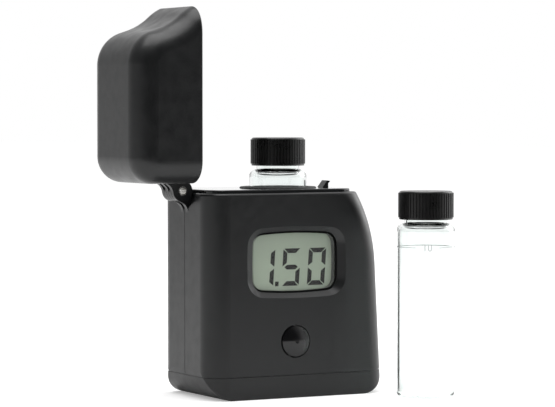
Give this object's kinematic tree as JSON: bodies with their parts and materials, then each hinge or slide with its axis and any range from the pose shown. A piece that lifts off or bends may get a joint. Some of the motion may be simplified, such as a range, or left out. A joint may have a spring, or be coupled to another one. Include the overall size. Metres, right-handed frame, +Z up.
{
  "type": "free chlorine meter",
  "caption": "Pocket free chlorine meter with a display, a push button, a side-hinged lid that flips open over the sample well, a screw-capped glass vial in the well and a spare vial beside it.",
  "frame": {"origin": "middle of the flat underside of the meter's base", "axes": "+Z up; -Y is the side with the display and the button; +X runs from the lid's hinge to the side with the latch"},
  "size_m": [0.1001, 0.0595, 0.1205],
  "materials": {
    "charcoal_plastic": "satin moulded charcoal plastic",
    "seal_rubber": "soft black rubber",
    "screw_steel": "plated steel screw",
    "glossy_deck": "glossy dark grey plastic",
    "black_plastic": "matt black plastic",
    "lamp_epoxy": "clear cast resin",
    "filter_glass": "green filter glass",
    "detector_can": "tinned can",
    "window_clear": "clear polished window",
    "display_glass": "grey-green reflective display glass",
    "strip_rubber": "layered conductive rubber",
    "board_laminate": "green lacquered laminate",
    "button_plastic": "glossy black plastic",
    "cell_can": "plain foil sleeve",
    "contact_steel": "nickel-plated spring strip",
    "pin_steel": "bright rolled steel tube",
    "vial_glass": "clear borosilicate glass",
    "liner_plastic": "soft white liner",
    "cap_plastic": "black ribbed moulded plastic"
  },
  "bodies": {
    "housing": {"front_shell": "charcoal_plastic", "rear_shell": "charcoal_plastic", "base_cover": "charcoal_plastic", "base_seal": "seal_rubber", "base_screws": "screw_steel", "housing_screws": "screw_steel", "deck_plate": "glossy_deck", "well_collar": "black_plastic", "latch_hook": "glossy_deck", "cuvette_holder": "black_plastic", "lamp": "lamp_epoxy", "optical_filter": "filter_glass", "detector": "detector_can", "window_lens": "window_clear", "display_panel": "display_glass", "contact_strips": "strip_rubber", "circuit_board": "board_laminate", "switch_body": "black_plastic", "battery_cell": "cell_can", "battery_spring": "contact_steel", "battery_plate": "contact_steel"},
    "lid": {"lid_shell": "charcoal_plastic", "hinge_pin": "pin_steel"},
    "button": {"button_cap": "button_plastic", "switch_plunger": "black_plastic"},
    "vial": {"vial_glass": "vial_glass"},
    "vial_seal": {"vial_liner": "liner_plastic"},
    "vial_top": {"vial_cap": "cap_plastic"},
    "spare": {"spare_glass": "vial_glass"},
    "spare_seal": {"spare_liner": "liner_plastic"},
    "spare_top": {"spare_cap": "cap_plastic"}
  },
  "joints": [
    {"name": "lid_hinge", "type": "hinge", "parent": "housing", "child": "lid", "pos_m": [-0.0338, 0, 0.064], "axis": [0, -1, 0], "range_deg": [-90, 0]},
    {"name": "button_press", "type": "slide", "parent": "housing", "child": "button", "axis": [0, 1, 0], "range_m": [0, 0.0005], "stiffness_N_per_m": 1500, "springref_m": -0.0003},
    {"name": "vial_lift", "type": "slide", "parent": "housing", "child": "vial", "axis": [0, 0, 1], "range_m": [0, 0.065]},
    {"name": "vial_cap_rise", "type": "slide", "parent": "vial", "child": "vial_seal", "axis": [0, 0, 1], "range_m": [0, 0.00313]},
    {"name": "vial_cap_turn", "type": "hinge", "parent": "vial_seal", "child": "vial_top", "pos_m": [0.0014, 0, 0.06], "axis": [0, 0, 1], "range_deg": [0, 451]},
    {"name": "spare_lift", "type": "slide", "parent": "housing", "child": "spare", "axis": [0, 0, 1], "range_m": [0, 0.065]},
    {"name": "spare_cap_rise", "type": "slide", "parent": "spare", "child": "spare_seal", "axis": [0, 0, 1], "range_m": [0, 0.00313]},
    {"name": "spare_cap_turn", "type": "hinge", "parent": "spare_seal", "child": "spare_top", "pos_m": [0.0358, -0.033, 0.06], "axis": [0, 0, 1], "range_deg": [0, 451]}
  ],
  "couplings": [
    {"joint": "vial_cap_turn", "follows": "vial_cap_rise", "rad_per_m": 2513.3},
    {"joint": "spare_cap_turn", "follows": "spare_cap_rise", "rad_per_m": 2513.3}
  ]
}
